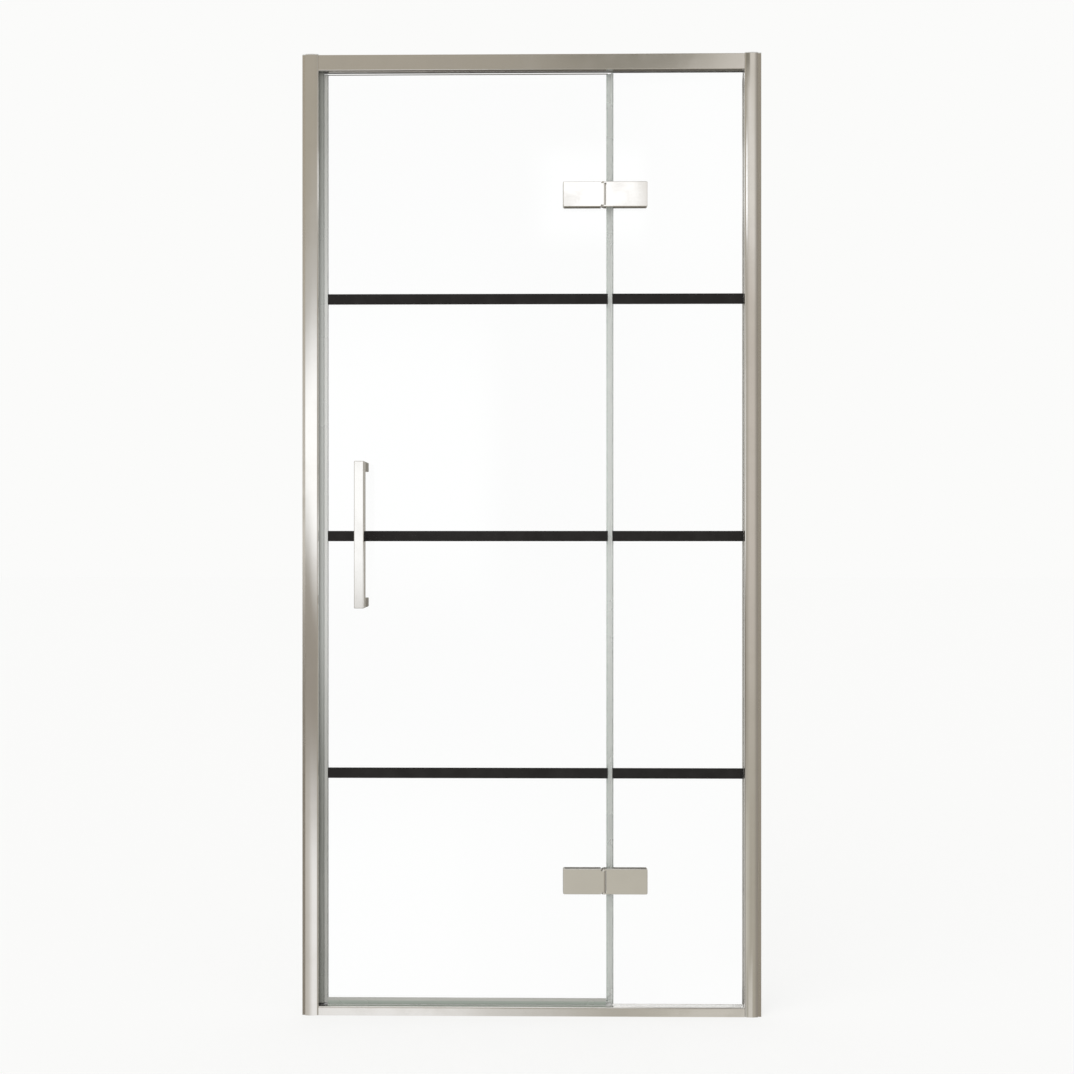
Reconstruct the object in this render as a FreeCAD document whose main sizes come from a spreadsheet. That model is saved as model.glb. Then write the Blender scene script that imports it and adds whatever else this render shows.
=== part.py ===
import FreeCAD, Part
import Sketcher
import os

# A hinged shower door with an in-line fixed panel. The frame stands on Z = 0 between two walls, centred on
# X = 0, and the glass is centred on Y = 0. The room is on the -Y side and the shower on the +Y side.
DRIVING_SIZES = {
    # Frame
    "opening_width": 906,
    "frame_height": 1900,
    "frame_depth": 30,
    "left_reveal": 6,
    "right_reveal": 7,
    "post_width": 26,
    "wall_thickness": 1.5,
    "post_crown": 1,
    "rail_depth": 28,
    "post_edge_radius": 3,
    "post_inner_radius": 0.3,
    "rail_edge_radius": 1,
    "groove_width": 11,
    "post_groove_depth": 12,
    "header_height": 31,
    "header_groove_depth": 22,
    "header_rear_lift": 7.5,
    "header_port_height": 19,
    "sill_height": 17.5,
    "sill_groove_depth": 12.5,
    "sill_port_height": 9.5,
    "sill_edge_radius": 3,
    "sill_rear_drop": 4,
    "port_boss_height": 6,
    "cap_thickness": 1.5,
    "cap_peg_length": 8,
    "cap_peg_width": 5,
    "infill_wall": 1.4,
    "infill_leg": 8,
    "infill_lip": 6,
    "fit_clearance": 0.1,
    # Wall channels and the screws of the frame
    "channel_depth": 22,
    "channel_wall": 1.8,
    "slide_clearance": 0.25,
    "wall_hole_diameter": 5,
    "wall_hole_inset": 110,
    "hole_clearance": 0.1,
    "rail_screw_diameter": 3,
    "rail_screw_head_diameter": 4.8,
    "rail_screw_head_height": 2,
    "rail_screw_length": 18,
    "post_screw_diameter": 3.5,
    "post_screw_head_diameter": 7,
    "post_screw_head_height": 2.2,
    "post_screw_length": 7,
    "post_screw_inset": 150,
    # Glass, gaskets and glazing bars
    "glass_thickness": 6,
    "glass_arris": 0.6,
    "glass_clearance": 0.05,
    "fixed_panel_width": 259.7,
    "glass_gap": 8.9,
    "door_overhang": 8.8,
    "door_top_clearance": 3,
    "gasket_web": 2,
    "gasket_rear_lift": 1.2,
    "bar_width": 20.5,
    "bar_thickness": 2,
    "bar_clearance": 0.5,
    "bar_edge_radius": 0.4,
    # Seals
    "strike_seal_reach": 8.85,
    "strike_seal_width": 10,
    "strike_plug_depth": 9,
    "strike_foot_height": 3,
    "seal_wall": 1,
    "magnet_thickness": 2.4,
    "magnet_width": 6,
    "magnet_clearance": 0.1,
    "seal_gap": 0.35,
    "seal_edge_radius": 0.8,
    "seal_end_clearance": 0.5,
    "magnet_inset": 4,
    "door_seal_leg": 2.5,
    "door_seal_clearance": 3.4,
    "clip_wall": 1.2,
    "drip_leg": 6,
    "drip_rear_leg": 3,
    "drip_web": 2,
    "drip_drop": 7,
    "drip_clearance": 0.5,
    "drip_fin_reach": 5,
    "drip_end_clearance": 0.9,
    "edge_seal_overlap": 2.6,
    "edge_seal_web": 2,
    "edge_seal_wall": 1.4,
    "edge_fin_thickness": 0.8,
    "edge_fin_setback": 2,
    "edge_fin_overlap": 2.5,
    "edge_fin_relief": 0.5,
    # Hinges
    "lower_hinge_inset": 241,
    "upper_hinge_inset": 243,
    "hinge_height": 50,
    "hinge_thickness": 11,
    "hinge_corner_radius": 3,
    "hinge_edge_radius": 1.2,
    "door_leaf_reach": 80.3,
    "panel_leaf_reach": 86.4,
    "knuckle_radius": 4.5,
    "knuckle_clearance": 0.7,
    "notch_clearance": 1,
    "ear_height": 3,
    "pin_diameter": 4,
    "pin_clearance": 0.05,
    "bush_wall": 1,
    "bush_flange_height": 0.8,
    "bush_flange_radius": 4,
    "bush_length": 12,
    "end_play": 0.2,
    "pad_thickness": 1,
    "pad_inset": 1.5,
    "back_plate_thickness": 4,
    "back_plate_inset": 4.5,
    "hinge_screw_diameter": 6,
    "hinge_screw_pitch": 36,
    "hinge_screw_depth": 7.5,
    "hinge_screw_head_diameter": 10.5,
    "hinge_screw_head_height": 3,
    "hinge_glass_hole_diameter": 14,
    "socket_width": 4,
    "socket_depth": 1.6,
    # Pull handle
    "handle_length": 285,
    "handle_width": 19,
    "handle_bar_depth": 20,
    "handle_projection": 55,
    "handle_height": 950,
    "handle_inset": 75,
    "handle_edge_radius": 1.5,
    "standoff_width": 18,
    "spigot_diameter": 8,
    "spigot_length": 6,
    "handle_glass_hole_diameter": 10,
    "handle_washer_thickness": 1,
    "handle_washer_diameter": 13.6,
    "handle_bush_width": 17,
    "handle_screw_diameter": 6,
    "handle_screw_depth": 18,
    "handle_screw_head_diameter": 11,
    "handle_screw_head_height": 3,
    "handle_cap_diameter": 13.6,
    "handle_cap_wall": 1.2,
    "handle_cap_edge_radius": 1,
}
WALL_HOLE_COUNT = 4
POST_SCREW_COUNT = 3
BAR_NAMES = ("lower", "middle", "upper")
CUT_OVERRUN = 1.0
NEAR = 1e-3

doc = FreeCAD.newDocument("shower_door")
sheet = doc.addObject("Spreadsheet::Sheet", "dims")
for row, (alias, value) in enumerate(DRIVING_SIZES.items(), start=1):
    sheet.set(f"A{row}", str(value))
    sheet.setAlias(f"A{row}", alias)
doc.recompute()
pieces = []


# Drawing helpers: every size and place is an expression on the sheet.
def number(expression):
    return float(sheet.evalExpression(expression))


def piece(label, x="0", y="0", z="0"):
    body = doc.addObject("PartDesign::Body", label)
    body.Label = label
    for axis, place in zip("xyz", (x, y, z)):
        body.setExpression(f"Placement.Base.{axis}", place)
    pieces.append(body)
    return body


def datum(body, role):
    return next(item for item in body.Origin.OriginFeatures if item.Role == role)


def rounded(loop):
    """Points of a loop, each with the radius of the arc that follows it, or None before a straight edge.

    A corner is (x, y), (x, y, radius) where it is rounded, or (x, y, radius, crown) where the edge after it
    is an arc with the radius called crown."""
    points = []
    values = [(number(corner[0]), number(corner[1])) for corner in loop]
    for index, corner in enumerate(loop):
        x, y, radius, crown = (*corner, None, None)[:4]
        if radius is None:
            points.append((x, y, crown))
            continue
        ends = []
        for other in (values[index - 1], values[(index + 1) % len(loop)]):
            step = [round(b - a, 6) and (1 if b > a else -1) for a, b in zip(values[index], other)]
            ends.append((f"({x}) + ({step[0]})*({radius})", f"({y}) + ({step[1]})*({radius})"))
        points.append((*ends[0], radius))
        points.append((*ends[1], crown))
    return points


def arc_between(before, start, end, radius):
    """An arc that bulges to the outer side of the turn that the outline makes at its start."""
    chord = end - start
    turn = 1 if (start - before).cross(chord).z > 0 else -1
    side = FreeCAD.Vector(-chord.y, chord.x, 0).normalize() * turn
    sagitta = radius - (radius ** 2 - chord.Length ** 2 / 4) ** 0.5
    return Part.Arc(start, (start + end) / 2 - side * sagitta, end)


def draw(body, name, plane, loops=(), circles=(), lift="0"):
    sketch = body.newObject("Sketcher::SketchObject", name)
    sketch.AttachmentSupport = [(datum(body, plane), "")]
    sketch.MapMode = "FlatFace"
    sketch.setExpression("AttachmentOffset.Base.z", lift)

    def fix(kind, *where, expression):
        place = sketch.addConstraint(Sketcher.Constraint(kind, *where, number(expression)))
        sketch.setExpression(f"Constraints[{place}]", expression)

    for loop in loops:
        points = rounded(loop)
        vectors = [FreeCAD.Vector(number(x), number(y), 0) for x, y, arc in points]
        first = sketch.GeometryCount
        joints = []
        for index, (x, y, arc) in enumerate(points):
            start = vectors[index]
            end = vectors[(index + 1) % len(points)]
            if arc is None:
                curve = Part.LineSegment(start, end)
            else:
                curve = arc_between(vectors[index - 1], start, end, number(arc))
            place = sketch.addGeometry(curve, False)
            first_end = sketch.getPoint(place, 1)
            second_end = sketch.getPoint(place, 2)
            forward = first_end.distanceToPoint(start) < second_end.distanceToPoint(start)
            joints.append((1, 2) if forward else (2, 1))
        for index, (x, y, arc) in enumerate(points):
            after = (index + 1) % len(points)
            meet = Sketcher.Constraint("Coincident", first + index, joints[index][1],
                                       first + after, joints[after][0])
            sketch.addConstraint(meet)
        for index, (x, y, arc) in enumerate(points):
            fix("DistanceX", -1, 1, first + index, joints[index][0], expression=x)
            fix("DistanceY", -1, 1, first + index, joints[index][0], expression=y)
            if arc is not None:
                fix("Radius", first + index, expression=arc)
    for x, y, diameter in circles:
        middle = FreeCAD.Vector(number(x), number(y), 0)
        ring = Part.Circle(middle, FreeCAD.Vector(0, 0, 1), number(diameter) / 2)
        place = sketch.addGeometry(ring, False)
        fix("DistanceX", -1, 1, place, 3, expression=x)
        fix("DistanceY", -1, 1, place, 3, expression=y)
        fix("Diameter", place, expression=diameter)
    return sketch


def pad(body, name, plane, length, loops=(), circles=(), lift="0"):
    feature = body.newObject("PartDesign::Pad", name)
    feature.Profile = draw(body, name + "_outline", plane, loops, circles, lift)
    feature.setExpression("Length", length)
    body.Tip = feature
    doc.recompute()
    return feature


def cut(body, name, plane, length, loops=(), circles=(), lift="0", along_normal=False):
    before = body.Shape.Volume
    feature = body.newObject("PartDesign::Pocket", name)
    feature.Profile = draw(body, name + "_outline", plane, loops, circles, lift)
    feature.setExpression("Length", length)
    feature.Reversed = along_normal
    body.Tip = feature
    doc.recompute()
    if body.Shape.Volume > before - 1e-6:
        raise RuntimeError(f"{body.Label}: {name} removed nothing")
    return feature


def soften(body, radius, chosen):
    """Round the edges of the body's tip whose points all satisfy the given test."""
    base = body.Tip
    names = []
    for index, edge in enumerate(base.Shape.Edges, start=1):
        points = edge.discretize(5)
        if all(chosen(point) for point in points):
            names.append(f"Edge{index}")
    fillet = body.newObject("PartDesign::Fillet", "soft_edges")
    fillet.Base = (base, names)
    fillet.setExpression("Radius", radius)
    body.Tip = fillet
    doc.recompute()
    return fillet


def box_loop(x0, y0, x1, y1):
    return [(x0, y0), (x1, y0), (x1, y1), (x0, y1)]


def u_loop(outer, inner, tip, floor, base):
    """A channel section: legs from tip to floor, a web from floor to base, as (across, along) points."""
    return [(f"-({outer})", tip), (f"-({outer})", base), (outer, base), (outer, tip),
            (inner, tip), (inner, floor), (f"-({inner})", floor), (f"-({inner})", tip)]


def swapped(loop):
    return [(along, across) for across, along in loop]


def hexagon(width):
    corner = f"({width})/sqrt(3)"
    half = f"({width})/2"
    return [(corner, "0"), (f"{corner}/2", half), (f"-{corner}/2", half),
            (f"-{corner}", "0"), (f"-{corner}/2", f"-{half}"), (f"{corner}/2", f"-{half}")]


# Places that several pieces share.
half_depth = "dims.frame_depth/2"
half_glass = "dims.glass_thickness/2"
glass_seat = f"({half_glass} + dims.glass_clearance)"
half_groove = "dims.groove_width/2"
left_wall = "-dims.opening_width/2"
right_wall = "dims.opening_width/2"
strike_post_back = f"({left_wall} + dims.left_reveal)"
panel_post_back = f"({right_wall} - dims.right_reveal)"
strike_face = f"({strike_post_back} + dims.post_width)"
panel_face = f"({panel_post_back} - dims.post_width)"
rail_length = f"({panel_face} - {strike_face})"
post_height = "(dims.frame_height - dims.cap_thickness)"
header_underside = f"({post_height} - dims.header_height)"
half_rail = "dims.rail_depth/2"
port_offset = f"({half_groove}/2 + {half_rail}/2)"
post_shoulder = f"({half_depth} - dims.post_crown)"
post_inside = f"({post_shoulder} - dims.wall_thickness)"
channel_half = f"({post_inside} - dims.slide_clearance)"
crown_chord = "(dims.post_width - dims.post_edge_radius)"
crown_radius = f"(({crown_chord}/2)^2 + dims.post_crown^2)/(2*dims.post_crown)"
header_port = f"({header_underside} + dims.header_port_height)"

panel_edge = f"({panel_face} - dims.fixed_panel_width)"
panel_glass_right = f"({panel_face} + dims.post_groove_depth - dims.gasket_web - dims.fit_clearance)"
panel_glass_bottom = "(dims.sill_height - dims.sill_groove_depth + dims.gasket_web + dims.fit_clearance)"
panel_glass_top = f"({header_underside} + dims.header_groove_depth - dims.gasket_web - dims.fit_clearance)"
door_right = f"({panel_edge} - dims.glass_gap)"
chamber_depth = "(dims.magnet_thickness + 2*dims.magnet_clearance)"
door_seal_web = f"({chamber_depth} + 2*dims.seal_wall)"
door_seal_left = f"({strike_face} + dims.strike_seal_reach + dims.seal_gap)"
door_left = f"({door_seal_left} + {door_seal_web})"
door_bottom = "(dims.sill_height + dims.drip_clearance + dims.drip_drop)"
door_top = f"({header_underside} - dims.door_top_clearance)"
clip_outer = f"({glass_seat} + dims.clip_wall)"

hinge_x = f"({door_right} - dims.door_overhang)"
leaf_back = "(dims.hinge_thickness - dims.knuckle_radius)"
glass_front_at_hinge = f"({leaf_back} + dims.pad_thickness)"
glass_back_at_hinge = f"({glass_front_at_hinge} + dims.glass_thickness)"
hinge_y = f"-({half_glass} + dims.pad_thickness + {leaf_back})"
plate_front = f"({glass_back_at_hinge} + dims.pad_thickness)"
plate_back = f"({plate_front} + dims.back_plate_thickness)"
hinge_heights = {
    "lower": f"({door_bottom} + dims.lower_hinge_inset)",
    "upper": f"({door_top} - dims.upper_hinge_inset)",
}
door_leaf_edge = "-(dims.knuckle_radius + dims.notch_clearance)"
door_leaf_far = "(0 - dims.door_leaf_reach)"
panel_leaf_far = "dims.panel_leaf_reach"
panel_plate_edge = "(dims.door_overhang + dims.glass_gap + dims.edge_seal_overlap + dims.bar_clearance)"
door_screw_middle = f"({door_leaf_edge} + {door_leaf_far})/2"
panel_screw_middle = f"({panel_plate_edge} + {panel_leaf_far})/2"
handle_x = f"({door_left} + dims.handle_inset)"
standoff_offset = "(dims.handle_length - dims.standoff_width)/2"


def spaced(inset, count):
    """Heights shared out evenly up a post, the first and last at the inset from its ends."""
    return [f"{inset} + {index}*({post_height} - 2*{inset})/{count - 1}" for index in range(count)]


wall_hole_heights = spaced("dims.wall_hole_inset", WALL_HOLE_COUNT)
post_screw_heights = spaced("dims.post_screw_inset", POST_SCREW_COUNT)
bar_heights = {
    name: f"({panel_glass_bottom} + {step}*({panel_glass_top} - {panel_glass_bottom})/{len(BAR_NAMES) + 1})"
    for step, name in enumerate(BAR_NAMES, start=1)
}
post_screw_hole = "dims.post_screw_diameter + 2*dims.hole_clearance"
rail_screw_hole = "dims.rail_screw_diameter + 2*dims.hole_clearance"
overrun = str(CUT_OVERRUN)


# Wall channel: a U-section screwed to the wall, which a post slides over to take up walls out of true.
def wall_channel(label, wall, inward, reveal):
    body = piece(label, x=wall)
    section = u_loop(channel_half, f"({channel_half} - dims.channel_wall)", f"{inward}*dims.channel_depth",
                     f"{inward}*dims.channel_wall", "0")
    pad(body, "section", "XY_Plane", post_height, [swapped(section)])
    wall_holes = [("0", height, "dims.wall_hole_diameter") for height in wall_hole_heights]
    cut(body, "wall_holes", "YZ_Plane", f"dims.channel_wall + {overrun}", circles=wall_holes,
        lift=f"-{inward}*{overrun}" if inward > 0 else "0-dims.channel_wall", along_normal=True)
    screw_x = f"{inward}*({reveal} + dims.channel_depth)/2"
    screw_holes = [(screw_x, height, post_screw_hole) for height in post_screw_heights]
    cut(body, "screw_holes", "XZ_Plane", f"dims.channel_wall + {overrun}", circles=screw_holes,
        lift=f"-({channel_half} - dims.channel_wall)")


wall_channel("wall_channel_left", left_wall, 1, "dims.left_reveal")
wall_channel("wall_channel_right", right_wall, -1, "dims.right_reveal")


# Post: one extruded section used at both sides, open to the wall, with gently crowned faces and a glazing
# groove in its inner side.
def mirror_y(points):
    return [(point[0], f"-({point[1]})", *point[2:]) for point in points]


def facing(points, inward):
    return [(f"{inward}*{point[0]}", *point[1:]) for point in points]


def post(label, back, inward, reveal):
    body = piece(label, x=back)
    wide = "dims.post_width"
    thin = "dims.wall_thickness"
    web = f"({wide} - {thin})"
    floor = f"({wide} - dims.post_groove_depth)"
    channel = f"({half_groove} + {thin})"
    radius = "dims.post_edge_radius"
    front = [("0", post_shoulder, None, crown_radius), (wide, post_shoulder, radius), (wide, half_groove),
             (floor, half_groove)]
    rear = mirror_y([(floor, half_groove), (wide, half_groove), (wide, post_shoulder, radius, crown_radius),
                     ("0", post_shoulder)])
    inside = [("0", post_inside), (web, post_inside, "dims.post_inner_radius"), (web, channel),
              (f"({floor} - {thin})", channel)]
    outline = front + rear + mirror_y(inside) + inside[::-1]
    pad(body, "section", "XY_Plane", post_height, [facing(outline, inward)])
    screw_x = f"{inward}*(dims.channel_depth - {reveal})/2"
    holes = [(screw_x, height, post_screw_hole) for height in post_screw_heights]
    cut(body, "channel_screw_holes", "XZ_Plane", f"{thin} + dims.post_crown + {overrun}", circles=holes,
        lift=f"-{post_inside}")
    rail_holes = [(f"{side}*{port_offset}", height, rail_screw_hole)
                  for side in (1, -1) for height in (header_port, "dims.sill_port_height")]
    cut(body, "rail_screw_holes", "YZ_Plane", f"{thin} + {overrun}", circles=rail_holes,
        lift=web if inward > 0 else f"-{wide} - {overrun}", along_normal=True)


post("strike_post", strike_post_back, 1, "dims.left_reveal")
post("panel_post", panel_post_back, -1, "dims.right_reveal")


# Post cap: a moulded lid over each post and its wall channel, with two pegs that plug into the post.
def post_cap(label, back, inward, reveal):
    body = piece(label, x=back, z=post_height)
    wide = "dims.post_width"
    radius = "dims.post_edge_radius"
    lid = [(f"(0 - {reveal})", channel_half), ("0", channel_half), ("0", post_shoulder, None, crown_radius),
           (wide, post_shoulder, radius), (wide, f"-{post_shoulder}", radius, crown_radius),
           ("0", f"-{post_shoulder}"), ("0", f"-{channel_half}"), (f"(0 - {reveal})", f"-{channel_half}")]
    pad(body, "lid", "XY_Plane", "dims.cap_thickness", [facing(lid, inward)])
    peg_end = f"{inward}*({wide} - dims.wall_thickness - dims.fit_clearance)"
    peg_start = f"({peg_end} - {inward}*dims.cap_peg_width)"
    low = f"({half_groove} + dims.wall_thickness + dims.fit_clearance)"
    high = f"({post_inside} - dims.post_inner_radius)"
    pegs = [box_loop(peg_start, f"{side}*{low}", peg_end, f"{side}*{high}") for side in (1, -1)]
    pad(body, "pegs", "XY_Plane", "dims.cap_peg_length", pegs, lift="-dims.cap_peg_length")


post_cap("strike_post_cap", strike_post_back, 1, "dims.left_reveal")
post_cap("panel_post_cap", panel_post_back, -1, "dims.right_reveal")


# Header and sill: extruded rails between the posts, each with a glazing groove and two screw ports. The rear
# leg of the header is the shorter one, so that the fixed pane can be lifted into its groove, and the rear leg
# of the sill is the lower one, so that water runs back into the shower.
def rail_ports(port):
    return [(f"{side}*{port_offset}", port, rail_screw_hole) for side in (1, -1)]


def side_cavities(low, high, sides):
    inside = f"({half_rail} - dims.wall_thickness)"
    channel = f"({half_groove} + dims.wall_thickness)"
    return [box_loop(f"{side}*{channel}", low, f"{side}*{inside}", high) for side in sides]


def header_rail():
    body = piece("header_rail", x=strike_face, z=header_underside)
    top = "dims.header_height"
    edge = "dims.rail_edge_radius"
    thin = "dims.wall_thickness"
    floor = "dims.header_groove_depth"
    outline = [(f"-{half_rail}", "0", edge), (f"-{half_groove}", "0"), (f"-{half_groove}", floor),
               (half_groove, floor), (half_groove, "dims.header_rear_lift"),
               (half_rail, "dims.header_rear_lift", edge),
               (half_rail, top, edge), (f"-{half_rail}", top, edge)]
    boss_low = "(dims.header_port_height - dims.port_boss_height/2)"
    boss_high = "(dims.header_port_height + dims.port_boss_height/2)"
    inside = f"({half_rail} - {thin})"
    channel = f"({half_groove} + {thin})"
    step = f"({floor} + {thin})"
    roof = f"({top} - {thin})"
    saddle = [(f"-{inside}", boss_high), (f"-{channel}", boss_high), (f"-{channel}", step), (channel, step),
              (channel, boss_high), (inside, boss_high), (inside, roof), (f"-{inside}", roof)]
    loops = [outline, saddle] + side_cavities(thin, boss_low, sides=[-1])
    loops += side_cavities(f"(dims.header_rear_lift + {thin})", boss_low, sides=[1])
    pad(body, "section", "YZ_Plane", rail_length, loops, rail_ports("dims.header_port_height"))


def sill_rail():
    body = piece("sill_rail", x=strike_face)
    top = "dims.sill_height"
    floor = "(dims.sill_height - dims.sill_groove_depth)"
    edge = "dims.sill_edge_radius"
    rear_top = "(dims.sill_height - dims.sill_rear_drop)"
    outline = [(f"-{half_rail}", "0"), (half_rail, "0"), (half_rail, rear_top, edge), (half_groove, rear_top),
               (half_groove, floor), (f"-{half_groove}", floor), (f"-{half_groove}", top),
               (f"-{half_rail}", top, edge)]
    boss_low = "(dims.sill_port_height - dims.port_boss_height/2)"
    loops = [outline] + side_cavities("dims.wall_thickness", boss_low, sides=[1, -1])
    pad(body, "section", "YZ_Plane", rail_length, loops, rail_ports("dims.sill_port_height"))


header_rail()
sill_rail()


# Infill strips: snap-in channels that close the glazing groove above and below the door.
infill_length = f"{panel_edge} - dims.edge_seal_web - {strike_face}"
infill_outer = f"({half_groove} - dims.fit_clearance)"
infill_inner = f"({infill_outer} - dims.infill_wall)"


def header_infill():
    body = piece("header_infill", x=strike_face, z=header_underside)
    tip = "(dims.header_groove_depth - dims.fit_clearance)"
    web_low = f"({tip} - dims.infill_leg)"
    web_high = f"({web_low} + dims.infill_wall)"
    lip = f"(dims.infill_lip - {infill_outer})"
    low = "dims.fit_clearance"
    lip_high = "(dims.fit_clearance + dims.infill_wall)"
    section = [(f"-{infill_outer}", tip), (f"-{infill_outer}", low), (lip, low), (lip, lip_high),
               (f"-{infill_inner}", lip_high), (f"-{infill_inner}", web_low), (infill_outer, web_low),
               (infill_outer, tip), (infill_inner, tip), (infill_inner, web_high),
               (f"-{infill_inner}", web_high), (f"-{infill_inner}", tip)]
    pad(body, "section", "YZ_Plane", infill_length, [section])


def sill_infill():
    body = piece("sill_infill", x=strike_face, z="dims.sill_height")
    section = u_loop(infill_outer, infill_inner, "(0 - dims.infill_leg)", "(0 - dims.infill_wall)", "0")
    pad(body, "section", "YZ_Plane", infill_length, [section])


header_infill()
sill_infill()


# Screws: a round head and a plain shank at each place, on the plane that faces along their axis.
def screw_set(body, name, plane, places, head, head_low, head_height, shank, shank_low, shank_length):
    heads = [(x, y, head) for x, y in places]
    shanks = [(x, y, shank) for x, y in places]
    pad(body, name + "_heads", plane, head_height, circles=heads, lift=head_low)
    pad(body, name + "_shanks", plane, shank_length, circles=shanks, lift=shank_low)


def back_screws(body, places, head, head_height, shank, seat, length):
    """Screws driven towards -Y whose heads bear at the depth called seat, each with a hexagon socket."""
    top = f"-({seat} + {head_height})"
    screw_set(body, "screw", "XZ_Plane", places, head, top, head_height, shank, f"-({seat})", length)
    socket = hexagon("dims.socket_width")
    sockets = [[(f"{x} + {dx}", f"{y} + {dy}") for dx, dy in socket] for x, y in places]
    cut(body, "sockets", "XZ_Plane", "dims.socket_depth", sockets, lift=top, along_normal=True)


# Rail screws: four for each rail, through the web of a post into the screw ports of the rail.
def rail_screws(label, port_height):
    body = piece(label)
    places = [(f"{side}*{port_offset}", port_height) for side in (1, -1)]
    head = "dims.rail_screw_head_diameter"
    head_height = "dims.rail_screw_head_height"
    shank = "dims.rail_screw_diameter"
    length = "dims.rail_screw_length"
    left_seat = f"({strike_face} - dims.wall_thickness)"
    right_seat = f"({panel_face} + dims.wall_thickness)"
    screw_set(body, "left", "YZ_Plane", places, head, f"{left_seat} - {head_height}", head_height,
              shank, left_seat, length)
    screw_set(body, "right", "YZ_Plane", places, head, right_seat, head_height,
              shank, f"{right_seat} - {length}", length)


rail_screws("header_screws", header_port)
rail_screws("sill_screws", "dims.sill_port_height")


# Post screws: fix each post to its wall channel from the shower side once the frame stands true.
def post_screws(label, wall, inward, reveal):
    body = piece(label, x=f"{wall} + {inward}*({reveal} + dims.channel_depth)/2")
    places = [("0", height) for height in post_screw_heights]
    back_screws(body, places, "dims.post_screw_head_diameter", "dims.post_screw_head_height",
                "dims.post_screw_diameter", half_depth, "dims.post_screw_length")


post_screws("strike_post_screws", left_wall, 1, "dims.left_reveal")
post_screws("panel_post_screws", right_wall, -1, "dims.right_reveal")


# Panes: toughened glass, both drilled for the hinges. The fixed one stands in the post, header and sill.
def pane(label, x_range, z_range, holes):
    body = piece(label)
    outline = box_loop(x_range[0], z_range[0], x_range[1], z_range[1])
    pad(body, "pane", "XZ_Plane", "dims.glass_thickness", [outline], holes, lift=f"-{half_glass}")
    face = number(half_glass)
    sides = [number(place) for place in x_range]
    ends = [number(place) for place in z_range]

    def on_rim(point):
        on_side = min(abs(point.x - side) for side in sides) < NEAR
        on_end = min(abs(point.z - end) for end in ends) < NEAR
        return abs(abs(point.y) - face) < NEAR and (on_side or on_end)

    soften(body, "dims.glass_arris", on_rim)


def hinge_holes(middle):
    hole = "dims.hinge_glass_hole_diameter"
    return [(f"{hinge_x} + {middle} + {side}*dims.hinge_screw_pitch/2", height, hole)
            for side in (1, -1) for height in hinge_heights.values()]


def handle_holes():
    hole = "dims.handle_glass_hole_diameter"
    return [(handle_x, f"dims.handle_height + {side}*{standoff_offset}", hole) for side in (1, -1)]


pane("fixed_glass", (panel_edge, panel_glass_right), (panel_glass_bottom, panel_glass_top),
     hinge_holes(panel_screw_middle))
pane("door_glass", (door_left, door_right), (door_bottom, door_top),
     hinge_holes(door_screw_middle) + handle_holes())


# Glazing gaskets: rubber channels pressed over the edges of the fixed pane inside the grooves.
def post_gasket():
    body = piece("panel_gasket_post", x=panel_face, z=panel_glass_bottom)
    outer = f"({half_groove} - dims.fit_clearance)"
    base = "(dims.post_groove_depth - dims.fit_clearance)"
    section = u_loop(outer, glass_seat, "0", f"{base} - dims.gasket_web", base)
    pad(body, "section", "XY_Plane", f"{panel_glass_top} - {panel_glass_bottom}", [swapped(section)])


def rail_gasket(label, z, upward, groove_depth, rear_tip):
    body = piece(label, x=panel_edge, z=z)
    outer = f"({half_groove} - dims.fit_clearance)"
    base = f"{upward}*({groove_depth} - dims.fit_clearance)"
    floor = f"{upward}*({groove_depth} - dims.fit_clearance - dims.gasket_web)"
    section = [(f"-{outer}", "0"), (f"-{outer}", base), (outer, base), (outer, rear_tip),
               (glass_seat, rear_tip), (glass_seat, floor), (f"-{glass_seat}", floor),
               (f"-{glass_seat}", "0")]
    pad(body, "section", "YZ_Plane", "dims.fixed_panel_width", [section])


post_gasket()
rail_gasket("panel_gasket_header", header_underside, 1, "dims.header_groove_depth", "dims.gasket_rear_lift")
rail_gasket("panel_gasket_sill", "dims.sill_height", -1, "dims.sill_groove_depth",
            "(0 - dims.sill_rear_drop)")


# Strike seal: a clear extrusion that plugs into the groove of the strike post and holds a magnet strip. It
# stands on a black rubber foot on the sill.
seal_top = f"({header_underside} - dims.seal_end_clearance)"
strike_seal_bottom = "(dims.sill_height + dims.strike_foot_height + dims.fit_clearance)"
strike_seal_length = f"({seal_top} - {strike_seal_bottom})"
magnet_half = "(dims.magnet_width/2 + dims.magnet_clearance)"


def strike_seal():
    body = piece("strike_seal", x=strike_face, z=strike_seal_bottom)
    plug = f"({half_groove} - dims.fit_clearance)"
    half = "dims.strike_seal_width/2"
    reach = "dims.strike_seal_reach"
    back = "(0 - dims.strike_plug_depth)"
    edge = "dims.seal_edge_radius"
    outline = [(back, f"-{plug}"), ("0", f"-{plug}"), ("0", f"-{half}"), (reach, f"-{half}", edge),
               (reach, half, edge), ("0", half), ("0", plug), (back, plug)]
    chamber_front = f"({reach} - dims.seal_wall)"
    chamber_back = f"({chamber_front} - {chamber_depth})"
    hollow = f"({half} - dims.seal_wall)"
    loops = [outline,
             box_loop(chamber_back, f"-{magnet_half}", chamber_front, magnet_half),
             box_loop(f"{back} + dims.seal_wall", f"-{hollow}", f"{chamber_back} - dims.seal_wall", hollow)]
    pad(body, "section", "XY_Plane", strike_seal_length, loops)


def strike_seal_foot():
    body = piece("strike_seal_foot", x=strike_face, z="dims.sill_height")
    half = "dims.strike_seal_width/2"
    reach = "(dims.strike_seal_reach - dims.fit_clearance)"
    edge = "dims.seal_edge_radius"
    outline = [("0", f"-{half}"), (reach, f"-{half}", edge), (reach, half, edge), ("0", half)]
    pad(body, "block", "XY_Plane", "dims.strike_foot_height", [outline])


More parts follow.
